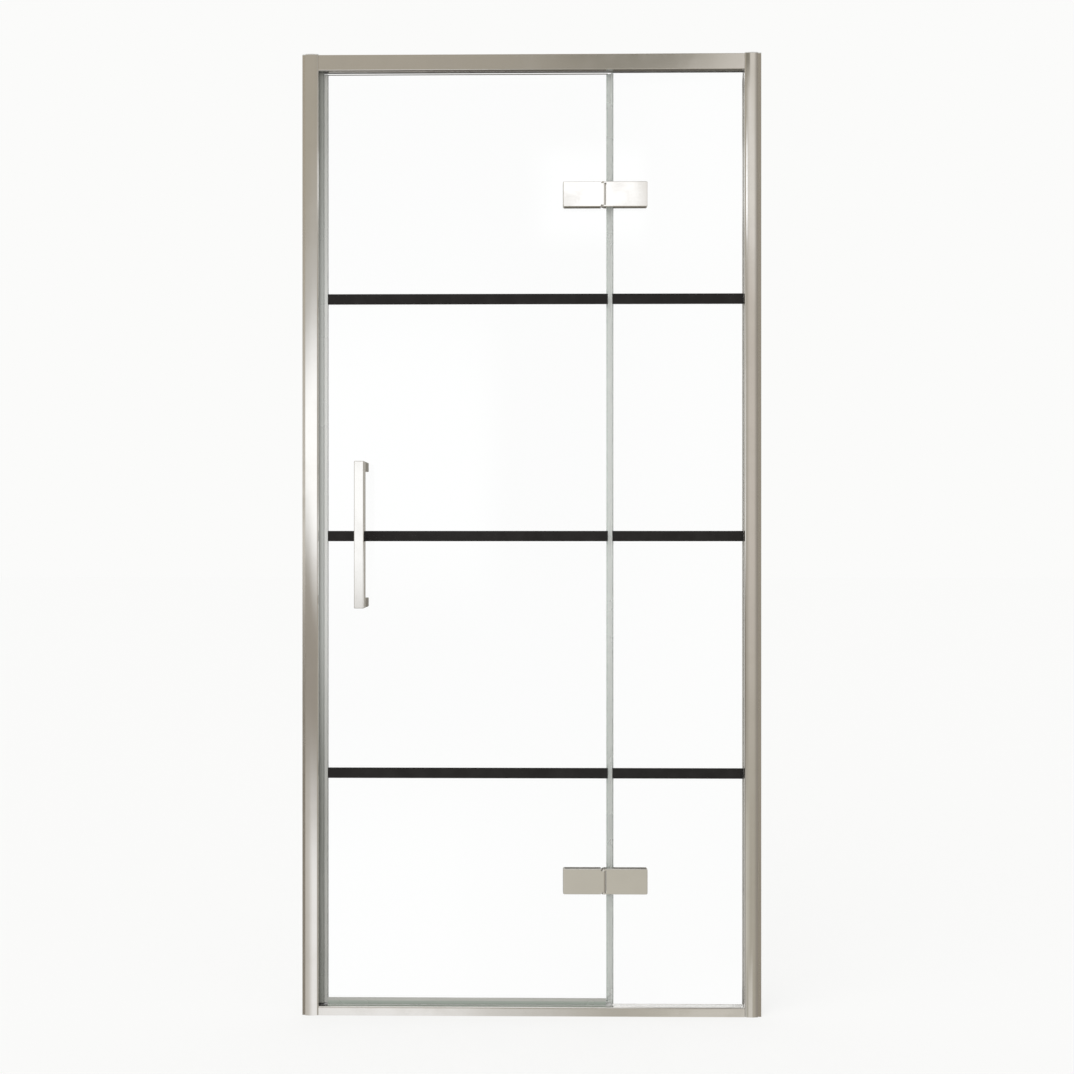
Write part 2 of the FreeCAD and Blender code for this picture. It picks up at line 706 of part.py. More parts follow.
def magnet_strip(label, chamber_left, z, length):
    body = piece(label, x=f"{chamber_left} + dims.magnet_clearance", z=f"{z} + dims.magnet_inset")
    outline = box_loop("0", "-dims.magnet_width/2", "dims.magnet_thickness", "dims.magnet_width/2")
    pad(body, "section", "XY_Plane", f"{length} - 2*dims.magnet_inset", [outline])


strike_seal()
strike_seal_foot()
magnet_strip("strike_magnet", f"{strike_face} + dims.strike_seal_reach - dims.seal_wall - {chamber_depth}",
             strike_seal_bottom, strike_seal_length)


# Door magnet seal: the matching half, clipped over the free edge of the door glass.
door_seal_bottom = "(dims.sill_height + dims.door_seal_clearance)"
door_seal_length = f"({door_top} - {door_seal_bottom})"


def door_magnet_seal():
    body = piece("door_magnet_seal", x=door_left, z=door_seal_bottom)
    leg = "dims.door_seal_leg"
    front = f"(0 - {door_seal_web})"
    edge = "dims.seal_edge_radius"
    outline = [(front, f"-{clip_outer}", edge), (leg, f"-{clip_outer}"), (leg, f"-{glass_seat}"),
               ("0", f"-{glass_seat}"), ("0", glass_seat), (leg, glass_seat), (leg, clip_outer),
               (front, clip_outer, edge)]
    chamber = box_loop(f"{front} + dims.seal_wall", f"-{magnet_half}", "0 - dims.seal_wall", magnet_half)
    pad(body, "section", "XY_Plane", door_seal_length, [outline, chamber])


door_magnet_seal()
magnet_strip("door_magnet", f"{door_seal_left} + dims.seal_wall", door_seal_bottom, door_seal_length)


# Drip seal: a clip on the foot of the door with a straight front fin and a slanted fin behind it.
def drip_seal():
    start = f"({door_left} + dims.door_seal_leg + dims.fit_clearance)"
    end = f"({door_right} - dims.edge_fin_overlap - dims.drip_end_clearance)"
    body = piece("drip_seal", x=start, z=door_bottom)
    leg = "dims.drip_leg"
    rear_leg = "dims.drip_rear_leg"
    web = "(0 - dims.drip_web)"
    foot = "(0 - dims.drip_drop)"
    fin = f"({clip_outer} + dims.drip_fin_reach)"
    outline = [(f"-{clip_outer}", leg), (f"-{clip_outer}", foot), (f"-{glass_seat}", foot),
               (f"-{glass_seat}", web), (glass_seat, web), (f"{fin} - dims.clip_wall", foot), (fin, foot),
               (clip_outer, web), (clip_outer, rear_leg), (glass_seat, rear_leg), (glass_seat, "0"),
               (f"-{glass_seat}", "0"), (f"-{glass_seat}", leg)]
    pad(body, "section", "YZ_Plane", f"{end} - {start}", [outline])


drip_seal()


# Panel edge seal: bonded to the edge of the fixed pane, with a slanted fin behind the door glass.
def panel_edge_seal():
    bottom = "(dims.sill_height + dims.seal_end_clearance)"
    body = piece("panel_edge_seal", x=panel_edge, z=bottom)
    web = "(0 - dims.edge_seal_web)"
    flange = "dims.edge_seal_overlap"
    tip = "(0 - dims.glass_gap - dims.edge_fin_overlap)"
    tip_y = f"({half_glass} + dims.edge_fin_setback)"
    back = f"({half_glass} + dims.edge_seal_wall)"
    outline = [(web, f"-{half_glass}"), ("0", f"-{half_glass}"), ("0", glass_seat), (flange, glass_seat),
               (flange, back), (tip, f"{tip_y} + dims.edge_fin_thickness"), (tip, tip_y),
               (web, f"{half_glass} + dims.edge_fin_relief")]
    pad(body, "section", "XY_Plane", f"{seal_top} - {bottom}", [outline])


panel_edge_seal()


# Glazing bars: flat black strips bonded to the room side of both panes at the same heights.
def glazing_bar(label, start, end, height):
    body = piece(label, x=start, z=height)
    outline = box_loop("0", "-dims.bar_width/2", f"{end} - {start}", "dims.bar_width/2")
    pad(body, "bar", "XZ_Plane", "dims.bar_thickness", [outline], lift=half_glass)
    front = -number(f"{half_glass} + dims.bar_thickness")
    soften(body, "dims.bar_edge_radius", lambda point: point.y < front + NEAR)
    return body


def clear_standoffs(body, start, height):
    """Notch a door bar round each standoff of the handle that would otherwise stand on it."""
    half = "(dims.standoff_width/2 + dims.bar_clearance)"
    middle = f"({handle_x} - {start})"
    for end, side in (("upper", 1), ("lower", -1)):
        level = f"(dims.handle_height + {side}*{standoff_offset} - {height})"
        if abs(number(level)) < number(f"dims.bar_width/2 + {half}"):
            notch = box_loop(f"{middle} - {half}", f"{level} - {half}",
                             f"{middle} + {half}", f"{level} + {half}")
            cut(body, f"{end}_standoff_notch", "XZ_Plane", f"dims.bar_thickness + 2*{overrun}", [notch],
                lift=f"({half_glass} - {overrun})", along_normal=True)


door_bar_start = f"({door_left} + dims.door_seal_leg + dims.bar_clearance)"
for name, height in bar_heights.items():
    door_bar = glazing_bar(f"door_bar_{name}", door_bar_start, door_right, height)
    clear_standoffs(door_bar, door_bar_start, height)
    glazing_bar(f"panel_bar_{name}", panel_edge, f"({panel_face} - dims.bar_clearance)", height)


# Hinges: a door leaf with a barrel turns on a pin held by the two ears of a panel leaf. Each leaf clamps
# its pane with a plate on the shower side, over soft pads, by two screws driven from the shower side.
half_hinge = "dims.hinge_height/2"
ear_face = f"({half_hinge} - dims.ear_height)"
barrel_half = f"({ear_face} - dims.end_play - dims.bush_flange_height)"
bush_bore = "(dims.pin_diameter + 2*dims.pin_clearance)"
bush_outer = f"({bush_bore} + 2*dims.bush_wall)"
leaf_hole = "(dims.hinge_screw_diameter + 2*dims.hole_clearance)"
corner = "dims.hinge_corner_radius"
knuckle = ("0", "0", "2*dims.knuckle_radius")
pin_circle = ("0", "0", "dims.pin_diameter")


def leaf_screw_places(middle):
    return [(f"({middle} + {side}*dims.hinge_screw_pitch/2)", "0") for side in (1, -1)]


def leaf_screw_holes(body, middle):
    holes = [(x, z, leaf_hole) for x, z in leaf_screw_places(middle)]
    cut(body, "screw_holes", "XZ_Plane", f"dims.hinge_screw_depth + {overrun}", circles=holes,
        lift=f"-{leaf_back}", along_normal=True)


def door_leaf(label, height):
    body = piece(label, hinge_x, hinge_y, height)
    far = door_leaf_far
    near = door_leaf_edge
    outline = [(far, f"-{half_hinge}", corner), (near, f"-{half_hinge}"), (near, f"-{barrel_half}"),
               ("0", f"-{barrel_half}"), ("0", barrel_half), (near, barrel_half), (near, half_hinge),
               (far, half_hinge, corner)]
    pad(body, "plate", "XZ_Plane", "dims.hinge_thickness", [outline], lift=f"-{leaf_back}")
    front = -number("dims.knuckle_radius")
    edge = number(near)
    soften(body, "dims.hinge_edge_radius",
           lambda point: point.y < front + NEAR and point.x < edge + NEAR
           and (point.x < edge - NEAR or abs(point.z) > number(half_hinge) - NEAR))
    pad(body, "barrel", "XY_Plane", f"2*{barrel_half}", circles=[knuckle], lift=f"-{barrel_half}")
    cut(body, "bore", "XY_Plane", f"2*{barrel_half} + 2*{overrun}", circles=[("0", "0", bush_outer)],
        lift=f"{barrel_half} + {overrun}")
    leaf_screw_holes(body, door_screw_middle)


def panel_leaf(label, height):
    body = piece(label, hinge_x, hinge_y, height)
    far = panel_leaf_far
    near = "(dims.knuckle_radius + dims.knuckle_clearance)"
    outline = [("0", f"-{half_hinge}"), (far, f"-{half_hinge}", corner), (far, half_hinge, corner),
               ("0", half_hinge), ("0", ear_face), (near, ear_face), (near, f"-{ear_face}"),
               ("0", f"-{ear_face}")]
    pad(body, "plate", "XZ_Plane", "dims.hinge_thickness", [outline], lift=f"-{leaf_back}")
    front = -number("dims.knuckle_radius")
    edge = number(near)
    soften(body, "dims.hinge_edge_radius",
           lambda point: point.y < front + NEAR and abs(point.z) < number(half_hinge) + NEAR
           and (point.x > edge + NEAR or abs(point.z) > number(half_hinge) - NEAR))
    for name, low in (("lower_ear", f"-{half_hinge}"), ("upper_ear", ear_face)):
        pad(body, name, "XY_Plane", "dims.ear_height", circles=[knuckle], lift=low)
    cut(body, "bore", "XY_Plane", f"dims.hinge_height + 2*{overrun}", circles=[pin_circle],
        lift=f"{half_hinge} + {overrun}")
    leaf_screw_holes(body, panel_screw_middle)


def hinge_pin(label, height):
    body = piece(label, hinge_x, hinge_y, height)
    pad(body, "pin", "XY_Plane", "dims.hinge_height", circles=[pin_circle], lift=f"-{half_hinge}")


def hinge_bushes(label, height):
    body = piece(label, hinge_x, hinge_y, height)
    bore = ("0", "0", bush_bore)
    sleeve = ("0", "0", bush_outer)
    flange = ("0", "0", "2*dims.bush_flange_radius")
    for name, sleeve_low, flange_low in (
            ("upper", f"{barrel_half} - dims.bush_length", barrel_half),
            ("lower", f"-{barrel_half}", f"-{barrel_half} - dims.bush_flange_height")):
        pad(body, name + "_sleeve", "XY_Plane", "dims.bush_length", circles=[sleeve, bore], lift=sleeve_low)
        pad(body, name + "_flange", "XY_Plane", "dims.bush_flange_height", circles=[flange, bore],
            lift=flange_low)


def plate_outline(x0, x1, inset, radius):
    half = f"({half_hinge} - {inset})"
    return [(x0, f"-{half}", radius), (x1, f"-{half}", radius), (x1, half, radius), (x0, half, radius)]


def clamp_pieces(name, height, middle, near, far, inward):
    """Pads, plate and screws that hold one leaf to its pane between the two x places near and far."""
    places = leaf_screw_places(middle)
    holes = [(x, z, leaf_hole) for x, z in places]
    plate_far = f"({far} - {inward}*dims.back_plate_inset)"
    pad_near = f"({near} + {inward}*dims.pad_inset)"
    front_pad = plate_outline(pad_near, f"({far} - {inward}*dims.pad_inset)", "dims.pad_inset", corner)
    back_pad = plate_outline(pad_near, f"({plate_far} - {inward}*dims.pad_inset)",
                             "(dims.back_plate_inset + dims.pad_inset)", corner)
    pads = piece(f"{name}_pads", hinge_x, hinge_y, height)
    pad(pads, "front_pad", "XZ_Plane", "dims.pad_thickness", [front_pad], holes,
        lift=f"-{glass_front_at_hinge}")
    sleeves = [(x, z, "dims.hinge_glass_hole_diameter - 2*dims.fit_clearance") for x, z in places]
    pad(pads, "sleeves", "XZ_Plane", "dims.glass_thickness", circles=sleeves + holes,
        lift=f"-{glass_back_at_hinge}")
    pad(pads, "back_pad", "XZ_Plane", "dims.pad_thickness", [back_pad], holes, lift=f"-{plate_front}")

    plate = piece(f"{name}_backplate", hinge_x, hinge_y, height)
    outline = plate_outline(near, plate_far, "dims.back_plate_inset", corner)
    pad(plate, "plate", "XZ_Plane", "dims.back_plate_thickness", [outline], holes, lift=f"-{plate_back}")
    recesses = [(x, z, "dims.hinge_screw_head_diameter + 2*dims.hole_clearance") for x, z in places]
    outer_face = number(plate_back)
    rim = number("dims.hinge_screw_head_diameter")
    centres = [number(x) for x, z in places]
    soften(plate, "dims.hinge_edge_radius",
           lambda point: point.y > outer_face - NEAR
           and all((point.x - centre) ** 2 + point.z ** 2 > rim ** 2 for centre in centres))
    cut(plate, "recesses", "XZ_Plane", "dims.hinge_screw_head_height", circles=recesses,
        lift=f"-{plate_back}", along_normal=True)

    screws = piece(f"{name}_screws", hinge_x, hinge_y, height)
    seat = f"({plate_back} - dims.hinge_screw_head_height)"
    back_screws(screws, places, "dims.hinge_screw_head_diameter", "dims.hinge_screw_head_height",
                "dims.hinge_screw_diameter", seat, f"{seat} - {leaf_back} + dims.hinge_screw_depth")


for name, height in hinge_heights.items():
    door_leaf(f"{name}_hinge_door_leaf", height)
    panel_leaf(f"{name}_hinge_panel_leaf", height)
    hinge_pin(f"{name}_hinge_pin", height)
    hinge_bushes(f"{name}_hinge_bushes", height)
    clamp_pieces(f"{name}_hinge_door", height, door_screw_middle, door_leaf_edge, door_leaf_far, -1)
    clamp_pieces(f"{name}_hinge_panel", height, panel_screw_middle, panel_plate_edge, panel_leaf_far, 1)


# Pull handle: a square bar on two standoffs, screwed through the door glass from the shower side.
glass_front = f"-{half_glass}"
bar_back = "(dims.handle_bar_depth - dims.handle_projection)"
standoff_back = "(0 - dims.handle_washer_thickness)"
standoff_places = [("0", f"{side}*{standoff_offset}") for side in (1, -1)]
handle_hole = "(dims.handle_screw_diameter + 2*dims.hole_clearance)"


def handle_piece(label):
    return piece(label, handle_x, glass_front, "dims.handle_height")


def at_standoffs(diameter):
    return [(x, z, diameter) for x, z in standoff_places]


def standoff_squares(width):
    half = f"({width})/2"
    radius = "dims.handle_edge_radius"
    return [[(f"{x} - {half}", f"{z} - {half}", radius), (f"{x} + {half}", f"{z} - {half}", radius),
             (f"{x} + {half}", f"{z} + {half}", radius), (f"{x} - {half}", f"{z} + {half}", radius)]
            for x, z in standoff_places]


def handle_bar():
    body = handle_piece("handle_bar")
    half_width = "dims.handle_width/2"
    half_length = "dims.handle_length/2"
    outline = box_loop(f"-{half_width}", f"-{half_length}", half_width, half_length)
    pad(body, "bar", "XZ_Plane", "dims.handle_bar_depth", [outline], lift=f"-{bar_back}")
    soften(body, "dims.handle_edge_radius", lambda point: True)
    cut(body, "spigot_holes", "XZ_Plane", f"dims.spigot_length + {overrun}", lift=f"-{bar_back}",
        circles=at_standoffs("dims.spigot_diameter + 2*dims.hole_clearance"), along_normal=True)


def handle_posts():
    body = handle_piece("handle_posts")
    pad(body, "standoffs", "XZ_Plane", f"{standoff_back} - {bar_back}",
        standoff_squares("dims.standoff_width"), lift=f"-{standoff_back}")
    pad(body, "spigots", "XZ_Plane", "dims.spigot_length", circles=at_standoffs("dims.spigot_diameter"),
        lift=f"-{bar_back}")
    cut(body, "screw_holes", "XZ_Plane", f"dims.handle_screw_depth + {overrun}",
        circles=at_standoffs(handle_hole), lift=f"-{standoff_back}", along_normal=True)


def handle_fixings():
    bore = at_standoffs(handle_hole)
    disc = at_standoffs("dims.handle_washer_diameter")
    bushes = handle_piece("handle_bushes")
    pad(bushes, "flanges", "XZ_Plane", "dims.handle_washer_thickness",
        standoff_squares("dims.handle_bush_width"), bore)
    sleeves = at_standoffs("dims.handle_glass_hole_diameter - 2*dims.fit_clearance")
    pad(bushes, "sleeves", "XZ_Plane", "dims.glass_thickness", circles=sleeves + bore,
        lift="-dims.glass_thickness")

    seat = "(dims.glass_thickness + dims.handle_washer_thickness)"
    washers = handle_piece("handle_washers")
    pad(washers, "discs", "XZ_Plane", "dims.handle_washer_thickness", circles=disc + bore, lift=f"-{seat}")

    screws = handle_piece("handle_screws")
    back_screws(screws, standoff_places, "dims.handle_screw_head_diameter", "dims.handle_screw_head_height",
                "dims.handle_screw_diameter", seat, f"{seat} - {standoff_back} + dims.handle_screw_depth")

    caps = handle_piece("handle_caps")
    rim = "dims.handle_cap_diameter"
    depth = "(dims.handle_screw_head_height + dims.fit_clearance)"
    hollow = at_standoffs(f"{rim} - 2*dims.handle_cap_wall")
    pad(caps, "rims", "XZ_Plane", depth, circles=at_standoffs(rim) + hollow, lift=f"-({seat} + {depth})")
    crown = f"({seat} + {depth} + dims.handle_cap_wall)"
    pad(caps, "crowns", "XZ_Plane", "dims.handle_cap_wall", circles=at_standoffs(rim), lift=f"-{crown}")
    outer_face = number(crown)
    soften(caps, "dims.handle_cap_edge_radius", lambda point: point.y > outer_face - NEAR)


handle_bar()
handle_posts()
handle_fixings()

doc.recompute()
for item in doc.Objects:
    if "Invalid" in item.State or "Error" in item.State:
        raise RuntimeError(f"{item.Label} did not compute")
os.makedirs("parts", exist_ok=True)
for body in pieces:
    if body.Shape.isNull() or not body.Shape.isValid():
        raise RuntimeError(f"{body.Label} has no valid shape")
    body.Shape.exportStep(os.path.join("parts", body.Label + ".step"))
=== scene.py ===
import math

import bmesh
import bpy
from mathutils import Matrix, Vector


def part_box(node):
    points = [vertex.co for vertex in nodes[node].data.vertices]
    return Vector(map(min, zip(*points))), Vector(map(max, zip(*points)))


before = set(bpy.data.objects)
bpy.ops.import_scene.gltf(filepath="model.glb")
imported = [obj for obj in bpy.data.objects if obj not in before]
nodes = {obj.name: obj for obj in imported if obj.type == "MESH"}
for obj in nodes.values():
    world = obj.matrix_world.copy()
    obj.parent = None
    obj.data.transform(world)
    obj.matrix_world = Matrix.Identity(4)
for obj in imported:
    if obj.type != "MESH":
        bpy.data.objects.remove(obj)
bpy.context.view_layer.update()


# Wall channels: anodised aluminium U-sections screwed to the wall at each side. The posts slide over them, so
# only a narrow satin strip of each shows. The extrusion die leaves fine lines up their length.
def feed(tree, socket, value):
    if isinstance(value, bpy.types.NodeSocket):
        tree.links.new(value, socket)
    elif isinstance(value, (tuple, list)) and socket.type == "RGBA":
        socket.default_value = (*value, 1.0)
    else:
        socket.default_value = value


def calc(tree, operation, first, second=0.0):
    step = tree.nodes.new("ShaderNodeMath")
    step.operation = operation
    feed(tree, step.inputs[0], first)
    feed(tree, step.inputs[1], second)
    return step.outputs[0]


def times(tree, first, *others):
    for other in others:
        first = calc(tree, "MULTIPLY", first, other)
    return first


def span(tree, value, low, high, to_low=0.0, to_high=1.0):
    """A soft step from one value to the other, between the two given places."""
    step = tree.nodes.new("ShaderNodeMapRange")
    step.interpolation_type = "SMOOTHSTEP"
    for name, given in (("Value", value), ("From Min", low), ("From Max", high),
                        ("To Min", to_low), ("To Max", to_high)):
        feed(tree, step.inputs[name], given)
    return step.outputs["Result"]


def mix(tree, share, first, second):
    step = tree.nodes.new("ShaderNodeMix")
    step.data_type = "RGBA"
    feed(tree, step.inputs[0], share)
    feed(tree, step.inputs[6], first)
    feed(tree, step.inputs[7], second)
    return step.outputs[2]


def noise(tree, vector, scale, detail, rough=0.5):
    step = tree.nodes.new("ShaderNodeTexNoise")
    feed(tree, step.inputs["Vector"], vector)
    step.inputs["Scale"].default_value = scale
    step.inputs["Detail"].default_value = detail
    step.inputs["Roughness"].default_value = rough
    return step.outputs["Fac"]


def stretched(tree, vector, scale):
    step = tree.nodes.new("ShaderNodeMapping")
    feed(tree, step.inputs["Vector"], vector)
    step.inputs["Scale"].default_value = scale
    return step.outputs["Vector"]


def apart(tree, vector):
    """The X, Y and Z of a place or direction."""
    step = tree.nodes.new("ShaderNodeSeparateXYZ")
    tree.links.new(vector, step.inputs[0])
    return step.outputs["X"], step.outputs["Y"], step.outputs["Z"]


def bump(tree, height, depth):
    step = tree.nodes.new("ShaderNodeBump")
    step.inputs["Strength"].default_value = 1.0
    step.inputs["Distance"].default_value = depth
    feed(tree, step.inputs["Height"], height)
    return step.outputs["Normal"]


def material(name):
    made = bpy.data.materials.new(name)
    made.use_nodes = True
    tree = made.node_tree
    place = tree.nodes.new("ShaderNodeTexCoord").outputs["Object"]
    return made, tree, tree.nodes["Principled BSDF"], place


def finish_with(made, *names):
    for name in names:
        nodes[name].data.materials.clear()
        nodes[name].data.materials.append(made)


def wear_group():
    """Marks on worked metal: die lines along the grain, sparse scratches and hand smudges."""
    group = bpy.data.node_groups.new("metal_wear", "ShaderNodeTree")
    group.interface.new_socket("Grain", in_out="INPUT", socket_type="NodeSocketVector")
    group.interface.new_socket("Place", in_out="INPUT", socket_type="NodeSocketVector")
    for name in ("Lines", "Scratches", "Smudges"):
        group.interface.new_socket(name, in_out="OUTPUT", socket_type="NodeSocketFloat")
    given = group.nodes.new("NodeGroupInput")
    out = group.nodes.new("NodeGroupOutput")
    lines = noise(group, given.outputs["Grain"], scale=1.0, detail=4.0, rough=0.65)
    thin = noise(group, given.outputs["Grain"], scale=2.7, detail=1.0, rough=0.4)
    patches = noise(group, given.outputs["Place"], scale=14.0, detail=5.0, rough=0.6)
    group.links.new(lines, out.inputs["Lines"])
    group.links.new(span(group, thin, 0.70, 0.76), out.inputs["Scratches"])
    group.links.new(span(group, patches, 0.40, 0.72), out.inputs["Smudges"])
    return group


metal_wear = wear_group()


def metal(name, grain, clean, dull, smooth, rough, depth, lean=0.0, tip=0.0):
    """Metal with its grain scaled along the three axes; colour and roughness run from clean to handled. Faces
    that lean fall away towards the two walls by the given slope, and those that tip fall away upwards."""
    smudge_share = 0.55
    line_share = 0.45
    scratch_share = 0.8
    made, tree, shader, place = material(name)
    wear = tree.nodes.new("ShaderNodeGroup")
    wear.node_tree = metal_wear
    tree.links.new(stretched(tree, place, grain), wear.inputs["Grain"])
    tree.links.new(place, wear.inputs["Place"])
    worn = calc(tree, "ADD", times(tree, wear.outputs["Smudges"], smudge_share),
                times(tree, wear.outputs["Lines"], line_share))
    feed(tree, shader.inputs["Base Color"], mix(tree, worn, clean, dull))
    dulled = calc(tree, "MAXIMUM", worn, times(tree, wear.outputs["Scratches"], scratch_share))
    feed(tree, shader.inputs["Roughness"], span(tree, dulled, 0.0, 1.0, smooth, rough))
    shader.inputs["Metallic"].default_value = 1.0
    relief = calc(tree, "SUBTRACT", wear.outputs["Lines"], wear.outputs["Scratches"])
    if lean or tip:
        x, _, z = apart(tree, place)
    if lean:
        relief = calc(tree, "SUBTRACT", relief, times(tree, calc(tree, "ABSOLUTE", x), lean / depth))
    if tip:
        relief = calc(tree, "SUBTRACT", relief, times(tree, z, tip / depth))
    feed(tree, shader.inputs["Normal"], bump(tree, relief, depth))
    return made


upright_grain = (900.0, 900.0, 5.0)
channel_metal = metal("channel_metal", upright_grain, clean=(0.86, 0.83, 0.78), dull=(0.76, 0.73, 0.68),
                      smooth=0.20, rough=0.30, depth=4e-6, lean=0.20)
finish_with(channel_metal, "wall_channel_left", "wall_channel_right")


# Posts: one aluminium extrusion cut to length for both sides, bright dipped and polished to a warm nickel
# shine. Their gently crowned faces carry only faint die lines and the odd handling mark.
bright = (0.93, 0.92, 0.905)
handled = (0.86, 0.845, 0.82)
post_metal = metal("post_metal", upright_grain, bright, handled,
                   smooth=0.05, rough=0.11, depth=2.5e-6, lean=0.04)
finish_with(post_metal, "strike_post", "panel_post")


# Header and sill: the same polished aluminium, with the grain running across the opening. Screws through the
# posts hold them by ports inside the sections.
level_grain = (5.0, 900.0, 900.0)
rail_metal = metal("rail_metal", level_grain, bright, handled, smooth=0.10, rough=0.19, depth=2.5e-6)
finish_with(rail_metal, "header_rail", "sill_rail")


# Post caps and groove infills: PVC with a fine matt texture from the tool, the caps moulded in mid grey. The
# extruded infills clip into the grooves above and below the door, painted dark as shade in the header and
# pale as lit in the sill.
def plastic(name, pale, deep, smooth, rough, grain, depth):
    made, tree, shader, place = material(name)
    cloud = noise(tree, place, scale=22.0, detail=4.0)
    feed(tree, shader.inputs["Base Color"], mix(tree, span(tree, cloud, 0.3, 0.7), pale, deep))
    texture = noise(tree, place, scale=grain, detail=3.0, rough=0.6)
    feed(tree, shader.inputs["Roughness"], span(tree, texture, 0.25, 0.75, smooth, rough))
    feed(tree, shader.inputs["Normal"], bump(tree, texture, depth))
    return made


tool_texture = {"grain": 1600.0, "depth": 2e-5}
grey_plastic = plastic("grey_plastic", (0.56, 0.555, 0.54), (0.50, 0.495, 0.48), 0.42, 0.58, **tool_texture)
finish_with(grey_plastic, "strike_post_cap", "panel_post_cap")
# Painted shade: the header infill and header gasket are dark for the shadow under the header.
painted_shade_plastic = plastic("painted_shade_plastic", (0.16, 0.155, 0.145), (0.12, 0.115, 0.11), 0.45, 0.62, **tool_texture)
finish_with(painted_shade_plastic, "header_infill")
# Painted light: the sill infill is pale so that it reads as lit from above.
painted_light_plastic = plastic("painted_light_plastic", (0.80, 0.80, 0.785), (0.72, 0.72, 0.705), 0.40, 0.55, **tool_texture)
finish_with(painted_light_plastic, "sill_infill")


# Frame screws: zinc-plated steel, turned and rolled, that hold the rails to the posts and the posts to the
# wall channels from the shower side.
turned_grain = (420.0, 420.0, 420.0)
screw_steel = metal("screw_steel", turned_grain, clean=(0.68, 0.68, 0.67), dull=(0.50, 0.50, 0.50),
                    smooth=0.22, rough=0.42, depth=6e-6)
finish_with(screw_steel, "header_screws", "sill_screws", "strike_post_screws", "panel_post_screws")


# Fixed pane: 6 mm toughened glass with a flat polished edge, where the thickness of the glass shows green.
# It stands in the grooves of the panel post, header and sill.
def glass(name, node):
    clear = (0.994, 0.998, 0.996)
    green_edge = (0.74, 0.85, 0.81)
    edge_start = 0.0012
    edge_full = 0.0006
    edge_roughness = 0.12
    film_roughness = 0.035
    made, tree, shader, place = material(name)
    low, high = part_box(node)
    x, _, z = apart(tree, place)
    middle = (low.x + high.x) / 2
    half = (high.x - low.x) / 2
    away = calc(tree, "ABSOLUTE", calc(tree, "SUBTRACT", x, middle))
    sides = span(tree, away, half - edge_start, half - edge_full)
    foot = span(tree, z, low.z + edge_full, low.z + edge_start, 1.0, 0.0)
    edge = calc(tree, "MAXIMUM", sides, foot)
    feed(tree, shader.inputs["Base Color"], mix(tree, edge, clear, green_edge))
    smears = noise(tree, place, scale=5.0, detail=5.0, rough=0.6)
    film = span(tree, smears, 0.45, 0.75, 0.0, film_roughness)
    feed(tree, shader.inputs["Roughness"], calc(tree, "ADD", film, times(tree, edge, edge_roughness)))
    shader.inputs["Transmission Weight"].default_value = 1.0
    shader.inputs["IOR"].default_value = 1.30
    finish_with(made, node)
    nodes[node].visible_shadow = False


glass("panel_glass", "fixed_glass")


# Glazing gaskets: rubber strips pressed over the edges of the fixed pane, dusty and dull. The one in the post
# is grey, the one in the header takes the same painted shade as the infill beside it, and the one in the sill
# pale.
rubber_texture = {"grain": 900.0, "depth": 3e-5}
gasket_rubber = plastic("gasket_rubber", (0.46, 0.445, 0.415), (0.39, 0.375, 0.35), 0.55, 0.75,
                        **rubber_texture)
finish_with(gasket_rubber, "panel_gasket_post")
# Painted shade: the header gasket is dark for the shadow under the header.
finish_with(painted_shade_plastic, "panel_gasket_header")
pale_rubber = plastic("pale_rubber", (0.90, 0.90, 0.885), (0.84, 0.84, 0.825), 0.50, 0.65, **rubber_texture)
finish_with(pale_rubber, "panel_gasket_sill")


# Clear seals: extruded PVC, slightly hazy and green in its thickness, with flow lines along its length. One
# plugs into the strike post, one is bonded to the edge of the fixed pane.
def seal(name, grain, pale, deep, clear, fin=None, painted_sheen=None):
    """PVC that lets the given share of light through. A fin, given by its level and colour, is softer below
    that level, and a seal given a painted sheen is paler about a metre up, a painted highlight at middle
    height."""
    line_share = 0.6
    haze_share = 0.4
    fin_blend = 0.0006
    sheen_height = 1.0
    upward_fade = 0.62
    made, tree, shader, place = material(name)
    lines = noise(tree, stretched(tree, place, grain), scale=1.0, detail=3.0, rough=0.55)
    haze = noise(tree, place, scale=7.0, detail=4.0, rough=0.55)
    tone = calc(tree, "ADD", times(tree, lines, line_share), times(tree, haze, haze_share))
    colour = mix(tree, span(tree, tone, 0.34, 0.66), pale, deep)
    _, _, z = apart(tree, place)
    if fin:
        level, soft_colour = fin
        colour = mix(tree, span(tree, z, level - fin_blend, level + fin_blend), soft_colour, colour)
    # Painted highlight: the paler band about a metre up stands in for the light the seal catches at middle
    # height.
    if painted_sheen:
        above = calc(tree, "SUBTRACT", z, sheen_height)
        away = calc(tree, "MAXIMUM", times(tree, above, upward_fade), times(tree, above, -1.0))
        colour = mix(tree, span(tree, away, 0.10, 0.62), painted_sheen, colour)
    feed(tree, shader.inputs["Base Color"], colour)
    feed(tree, shader.inputs["Roughness"], span(tree, haze, 0.3, 0.7, 0.16, 0.30))
    feed(tree, shader.inputs["Normal"], bump(tree, lines, 1.2e-5))
    shader.inputs["Transmission Weight"].default_value = clear
    shader.inputs["IOR"].default_value = 1.5
    return made


upright_flow = (420.0, 420.0, 9.0)
# The strike and edge seals carry a painted highlight, paler about a metre up.
strike_pvc = seal("strike_pvc", upright_flow, (0.27, 0.275, 0.25), (0.20, 0.205, 0.185), clear=0.12,
                  painted_sheen=(0.53, 0.545, 0.52))
finish_with(strike_pvc, "strike_seal")
edge_pvc = seal("edge_pvc", upright_flow, (0.72, 0.735, 0.705), (0.63, 0.645, 0.615), clear=0.45,
                painted_sheen=(0.80, 0.815, 0.79))
finish_with(edge_pvc, "panel_edge_seal")


